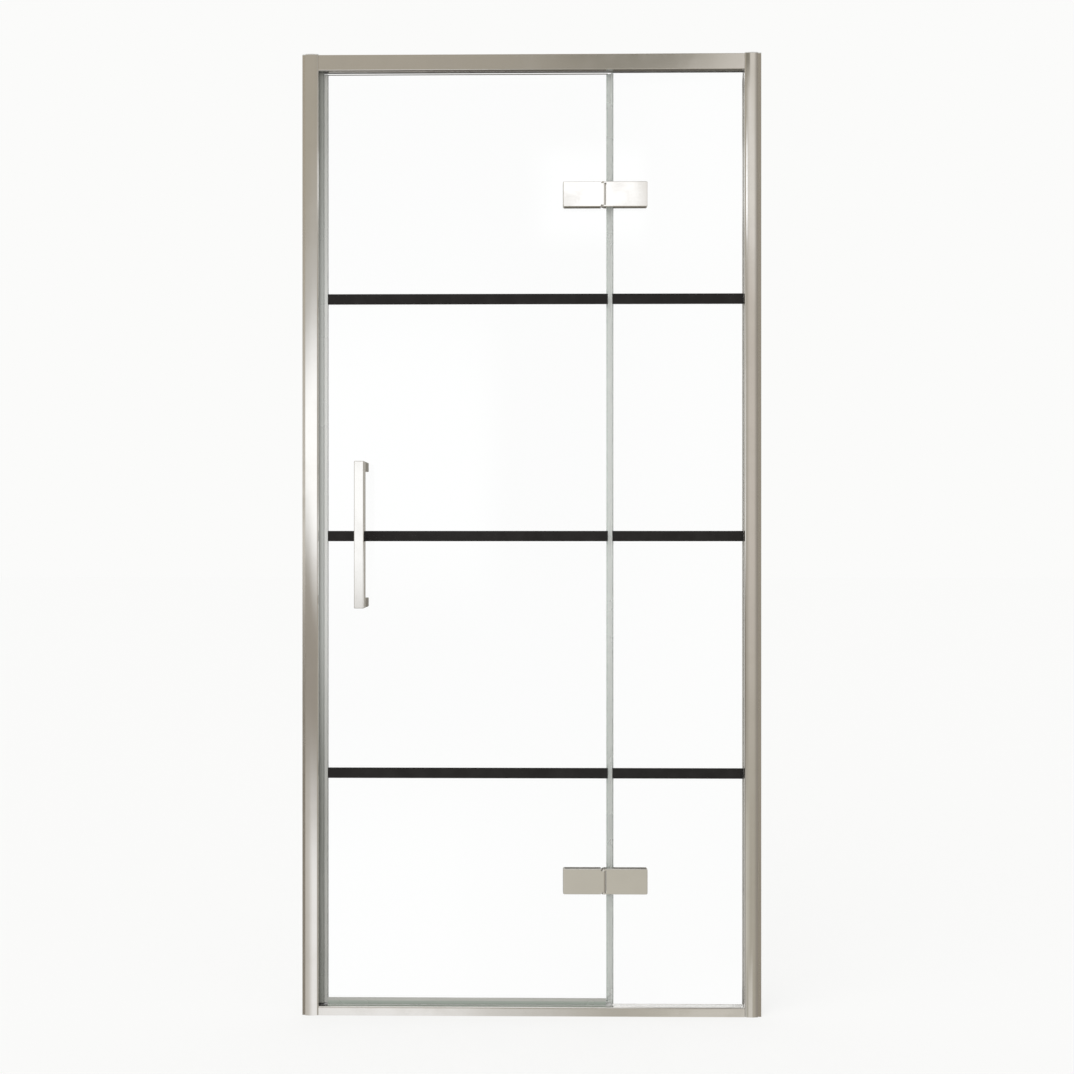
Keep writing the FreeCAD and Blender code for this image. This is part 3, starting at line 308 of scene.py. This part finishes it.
# Strike seal foot: a small moulded block of black rubber, pushed in at the bottom of the strike side, that
# closes the joint between seal, post and sill. Its near-black colour is also painted shadow for the shade in
# that joint.
# Painted shadow: the near-black foot stands in for the shade in the joint at the foot of the seal.
foot_rubber = plastic("foot_rubber", (0.030, 0.030, 0.029), (0.020, 0.020, 0.0195), 0.55, 0.75,
                      **rubber_texture)
finish_with(foot_rubber, "strike_seal_foot")


# Magnet strips: flexible ferrite rubber, dark brown and finely granular. One slides into the strike seal and
# one into the door's magnet seal, and both are hidden there.
magnet_strip = plastic("magnet_strip", (0.070, 0.062, 0.055), (0.045, 0.040, 0.036), 0.50, 0.68,
                       grain=2400.0, depth=2e-5)
finish_with(magnet_strip, "strike_magnet", "door_magnet")


# Door pane: the same toughened glass, with the same green edge. It hangs on the two hinges and is drilled for
# the pull handle before it is toughened.
glass("leaf_glass", "door_glass")


# Door seals: the magnet seal clips over the free edge of the glass, the drip seal over its foot, where a
# softer, greener fin wipes the sill.
# The magnet seal carries the same painted highlight about a metre up.
leaf_pvc = seal("leaf_pvc", upright_flow, (0.48, 0.48, 0.45), (0.40, 0.40, 0.375), clear=0.22,
                painted_sheen=(0.78, 0.785, 0.76))
finish_with(leaf_pvc, "door_magnet_seal")
level_flow = (9.0, 420.0, 420.0)
glass_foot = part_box("door_glass")[0].z
drip_pvc = seal("drip_pvc", level_flow, (0.50, 0.50, 0.465), (0.43, 0.43, 0.40), clear=0.15,
                fin=(glass_foot, (0.36, 0.40, 0.355)))
finish_with(drip_pvc, "drip_seal")


# Glazing bars: flat aluminium strips in satin black powder coat, with a fine orange peel and a little dust.
# They are bonded to the room side of both panes, in line with each other.
def powder_coat():
    black = (0.0090, 0.0080, 0.0080)
    dusty_black = (0.0150, 0.0138, 0.0135)
    made, tree, shader, place = material("black_bar")
    peel = noise(tree, place, scale=1400.0, detail=2.0)
    dust = noise(tree, place, scale=30.0, detail=5.0, rough=0.6)
    feed(tree, shader.inputs["Base Color"], mix(tree, span(tree, dust, 0.35, 0.75), black, dusty_black))
    shader.inputs["Specular IOR Level"].default_value = 0.30
    feed(tree, shader.inputs["Roughness"], span(tree, dust, 0.3, 0.7, 0.38, 0.55))
    feed(tree, shader.inputs["Normal"], bump(tree, peel, 1.5e-5))
    return made


black_bar = powder_coat()
finish_with(black_bar, *(name for name in sorted(nodes) if "_bar_" in name))


# Hinges: cast brass leaves and back plates, polished and plated, that clamp the panes through soft pads. The
# pins and screws are steel, and the door turns on nylon bushes.
plate_grain = (260.0, 260.0, 260.0)
hinge_metal = metal("hinge_metal", plate_grain, clean=(0.94, 0.93, 0.915), dull=(0.90, 0.885, 0.865),
                    smooth=0.06, rough=0.12, depth=0.8e-6)
soft_pad = plastic("soft_pad", (0.30, 0.30, 0.295), (0.24, 0.24, 0.235), 0.60, 0.80, grain=700.0, depth=4e-5)
nylon = plastic("nylon", (0.74, 0.73, 0.69), (0.66, 0.65, 0.61), 0.35, 0.50, grain=1100.0, depth=2e-5)
for hinge in ("upper_hinge", "lower_hinge"):
    for side in ("door", "panel"):
        clamp = f"{hinge}_{side}"
        finish_with(hinge_metal, f"{clamp}_leaf", f"{clamp}_backplate")
        finish_with(soft_pad, f"{clamp}_pads")
        finish_with(screw_steel, f"{clamp}_screws")
    finish_with(screw_steel, f"{hinge}_pin")
    finish_with(nylon, f"{hinge}_bushes")


# Pull handle: a square bar of polished stainless steel on two standoffs of a darker steel, screwed through
# the glass from behind over nylon bushes and washers. Snap-on caps hide the screw heads.
handle_metal = metal("handle_metal", upright_grain, clean=(0.93, 0.925, 0.915), dull=(0.86, 0.85, 0.835),
                     smooth=0.07, rough=0.16, depth=2e-6, tip=0.027)
standoff_metal = metal("standoff_metal", plate_grain, clean=(0.40, 0.385, 0.345), dull=(0.33, 0.315, 0.28),
                       smooth=0.14, rough=0.24, depth=2e-6)
cap_metal = metal("cap_metal", plate_grain, clean=(0.93, 0.92, 0.90), dull=(0.86, 0.845, 0.82),
                  smooth=0.08, rough=0.18, depth=1.5e-6)
finish_with(handle_metal, "handle_bar")
finish_with(standoff_metal, "handle_posts")
finish_with(cap_metal, "handle_caps")
finish_with(nylon, "handle_bushes", "handle_washers")
finish_with(screw_steel, "handle_screws")


# Studio floor: one wide pale sheet at the foot of the object. It glows a little, so that it comes out as
# light as the surround and still takes the object's shadow.
def floor_material():
    paint = (0.25, 0.25, 0.248)
    own_light = (0.705, 0.705, 0.698)
    made, tree, shader, _ = material("studio_floor")
    tree.nodes.remove(shader)
    painted = tree.nodes.new("ShaderNodeBsdfDiffuse")
    feed(tree, painted.inputs["Color"], paint)
    glowing = tree.nodes.new("ShaderNodeEmission")
    feed(tree, glowing.inputs["Color"], own_light)
    both = tree.nodes.new("ShaderNodeAddShader")
    tree.links.new(painted.outputs[0], both.inputs[0])
    tree.links.new(glowing.outputs[0], both.inputs[1])
    tree.links.new(both.outputs[0], tree.nodes["Material Output"].inputs["Surface"])
    return made


floor_reach = 20.0
sheet = bmesh.new()
bmesh.ops.create_grid(sheet, x_segments=1, y_segments=1, size=floor_reach)
floor_mesh = bpy.data.meshes.new("floor")
sheet.to_mesh(floor_mesh)
sheet.free()
floor_mesh.materials.append(floor_material())
floor = bpy.data.objects.new("floor", floor_mesh)
floor.visible_glossy = False
floor.visible_transmission = False
bpy.context.scene.collection.objects.link(floor)


# Surround: white where it is seen past the object or through the glass. The metal mirrors a beige room
# instead, with soft windows and lit patches in the wall that the object faces, a dim wall behind it with
# dark and pale bands, and a pale ceiling with a dark beam.
def between(tree, value, rise, fall):
    """One between the two soft edges, and nothing outside them."""
    return times(tree, span(tree, value, *rise), span(tree, value, *fall, 1.0, 0.0))


def front_wall(tree, across, up):
    """The wall that the object faces, by how far a place lies across and up for each metre away from it."""
    def patch(wall, colour, left, right, low, high, slant=0.0):
        """A soft-edged patch, with each edge given as the two places between which it fades."""
        lifted = calc(tree, "ADD", up, times(tree, across, slant))
        sides = between(tree, across, left, right)
        shape = times(tree, sides, span(tree, lifted, *low), span(tree, up, *high, 1.0, 0.0))
        return mix(tree, shape, wall, colour)

    skirting = (0.325, 0.295, 0.255)
    beige = (0.405, 0.37, 0.31)
    shaded_beige = (0.325, 0.30, 0.25)
    wall = mix(tree, span(tree, up, -0.25, 0.45), skirting, beige)
    wall = mix(tree, span(tree, across, -0.22, 0.15), wall, shaded_beige)
    far_left = span(tree, across, -0.70, -0.60, 1.0, 0.0)
    dark_corner = times(tree, far_left, span(tree, up, -0.20, 0.0, 1.0, 0.0))
    wall = mix(tree, dark_corner, wall, (0.20, 0.18, 0.15))

    right_wall = mix(tree, span(tree, up, -0.36, 0.04), (0.42, 0.39, 0.33), (0.57, 0.525, 0.47))
    right_wall = mix(tree, span(tree, up, 0.24, 0.36), right_wall, (0.74, 0.71, 0.665))
    right_wall = mix(tree, span(tree, up, 0.42, 0.52), right_wall, (0.63, 0.595, 0.54))
    cornice = (0.480, 0.494)
    turn_start = span(tree, up, *cornice, 0.02, 0.158)
    turn_end = span(tree, up, *cornice, 0.18, 0.21)
    wall = mix(tree, span(tree, across, turn_start, turn_end), wall, right_wall)
    wall = mix(tree, span(tree, across, 0.42, 0.57), wall, (0.275, 0.25, 0.215))
    wall = mix(tree, span(tree, across, 0.61, 0.69), wall, (0.335, 0.31, 0.265))
    wall = patch(wall, (0.215, 0.20, 0.162), (-0.04, 0.10), (0.135, 0.18), (0.484, 0.498), (0.62, 0.72))

    floor_edge = (-1.10, -0.70)
    sill_level = (-0.49, -0.44)
    wall = patch(wall, (0.61, 0.585, 0.53), (0.108, 0.138), (0.315, 0.345), floor_edge, sill_level)
    wall = patch(wall, (0.51, 0.485, 0.42), (-0.08, 0.02), (0.10, 0.20), (-0.49, -0.43), (-0.33, -0.21))
    wall = patch(wall, (0.43, 0.41, 0.36), (-0.08, -0.04), (0.09, 0.13), floor_edge, sill_level)

    window_halo = (0.62, 0.61, 0.59)
    side_light = (0.95, 0.94, 0.92)
    left_window = (1.10, 1.10, 1.09)
    upper_window = (1.2, 1.2, 1.2)
    wall = patch(wall, window_halo, (-0.86, -0.66), (-0.09, -0.03), (-0.12, 0.16), (0.14, 0.46))
    wall = patch(wall, side_light, (-1.30, -1.10), (-0.69, -0.63), (-0.10, -0.01), (0.02, 0.11))
    wall = patch(wall, left_window, (-0.725, -0.595), (-0.085, -0.035), (-0.125, 0.025), (0.135, 0.285),
                 slant=0.12)
    wall = patch(wall, upper_window, (-0.025, 0.015), (0.096, 0.118), (0.30, 0.34), (0.395, 0.435))

    lit_floor = mix(tree, span(tree, across, -0.60, -0.16), (0.53, 0.50, 0.455), (0.87, 0.86, 0.845))
    lit_floor = mix(tree, span(tree, across, -0.12, -0.04), lit_floor, (0.63, 0.61, 0.575))
    wall = patch(wall, lit_floor, (-0.71, -0.60), (-0.05, 0.03), (-2.1, -1.9), (-0.375, -0.175))
    return patch(wall, (0.61, 0.595, 0.56), (-0.09, -0.05), (0.015, 0.05), floor_edge, sill_level)


def back_wall(tree, beside, height):
    """The wall behind the object, which the inner faces of the frame mirror."""
    outward = calc(tree, "ABSOLUTE", beside)
    off_level = calc(tree, "ABSOLUTE", height)
    wall = mix(tree, span(tree, height, -0.30, 0.35), (0.33, 0.31, 0.275), (0.46, 0.44, 0.40))
    wall = mix(tree, span(tree, outward, 0.45, 0.75), wall, (0.66, 0.65, 0.62))
    dark_bands = times(tree, span(tree, off_level, 0.29, 0.33), span(tree, outward, 0.30, 0.36, 1.0, 0.0))
    wall = mix(tree, dark_bands, wall, (0.115, 0.105, 0.088))
    left_strip = between(tree, beside, (-0.40, -0.30), (-0.19, -0.16))
    left_strip = times(tree, left_strip, span(tree, off_level, 0.415, 0.435, 1.0, 0.0))
    wall = mix(tree, left_strip, wall, (0.46, 0.445, 0.41))
    pale_band = between(tree, height, (0.295, 0.335), (0.365, 0.39))
    pale_band = times(tree, pale_band, span(tree, beside, -0.05, -0.03, 1.0, 0.0))
    wall = mix(tree, pale_band, wall, (0.80, 0.79, 0.77))
    top_light = times(tree, span(tree, height, 0.429, 0.437), span(tree, beside, 0.218, 0.238, 1.0, 0.0))
    return mix(tree, top_light, wall, (1.15, 1.15, 1.14))


def mirrored_room(tree, direction):
    nearest = 0.05
    x, y, height = apart(tree, direction)
    towards = calc(tree, "MULTIPLY", y, -1.0)
    in_front = calc(tree, "MAXIMUM", towards, nearest)
    front = front_wall(tree, calc(tree, "DIVIDE", x, in_front), calc(tree, "DIVIDE", height, in_front))
    back = back_wall(tree, calc(tree, "DIVIDE", x, calc(tree, "MAXIMUM", y, nearest)), height)
    room = mix(tree, span(tree, towards, -0.15, 0.15), back, front)
    upper_slot = between(tree, height, (0.315, 0.335), (0.36, 0.38))
    middle_slot = between(tree, height, (-0.08, -0.04), (0.01, 0.05))
    slots = times(tree, span(tree, x, 0.70, 0.80), calc(tree, "MAXIMUM", upper_slot, middle_slot))
    room = mix(tree, slots, room, (0.95, 0.95, 0.94))
    beam = between(tree, x, (0.088, 0.104), (0.22, 0.30))
    ceiling = mix(tree, beam, (0.80, 0.79, 0.77), (0.22, 0.21, 0.19))
    return mix(tree, span(tree, height, 0.62, 0.90), room, ceiling)


def surround():
    world = bpy.data.worlds.new("studio")
    world.use_nodes = True
    tree = world.node_tree
    path = tree.nodes.new("ShaderNodeLightPath")

    def background(colour):
        step = tree.nodes.new("ShaderNodeBackground")
        feed(tree, step.inputs["Color"], colour)
        return step

    def choose(share, first, second):
        step = tree.nodes.new("ShaderNodeMixShader")
        tree.links.new(share, step.inputs[0])
        tree.links.new(first.outputs[0], step.inputs[1])
        tree.links.new(second.outputs[0], step.inputs[2])
        return step

    direction = tree.nodes.new("ShaderNodeTexCoord").outputs["Generated"]
    mirrored = background(mirrored_room(tree, direction))
    past_object = background((0.965, 0.965, 0.956))
    through_glass = background((1.0, 1.0, 1.0))
    fill_light = background((0.70, 0.70, 0.70))
    choice = choose(path.outputs["Is Camera Ray"], fill_light, past_object)
    choice = choose(path.outputs["Is Transmission Ray"], choice, through_glass)
    in_metal = calc(tree, "GREATER_THAN", path.outputs["Glossy Depth"], 0.5)
    in_metal = calc(tree, "SUBTRACT", in_metal, path.outputs["Is Diffuse Ray"])
    choice = choose(calc(tree, "MAXIMUM", in_metal, 0.0), choice, mirrored)
    tree.links.new(choice.outputs[0], tree.nodes["World Output"].inputs["Surface"])
    return world


bpy.context.scene.world = surround()


# Key light: one broad sun from the upper left of the room, soft enough to leave only a faint shadow on the
# floor. It isn't mirrored in the metal or seen through the glass.
lamp = bpy.data.lights.new("soft_key", "SUN")
lamp.energy = 1.5
lamp.angle = math.radians(60.0)
key = bpy.data.objects.new("soft_key", lamp)
key.rotation_euler = (math.radians(48.0), 0.0, math.radians(-32.0))
key.visible_glossy = False
key.visible_transmission = False
bpy.context.scene.collection.objects.link(key)


# Camera: it stands level in the room, at half the height of the object and a little to the right of its
# middle, and is turned slightly to the left.
view = bpy.data.cameras.new("camera")
view.lens = 31.29
view.sensor_width = 36.0
camera = bpy.data.objects.new("camera", view)
camera.location = (0.0270, -1.8551, 0.9454)
camera.rotation_euler = (math.radians(90.0), 0.0, 0.00862)
bpy.context.scene.collection.objects.link(camera)
bpy.context.scene.camera = camera
bpy.context.scene.view_settings.view_transform = "Standard"
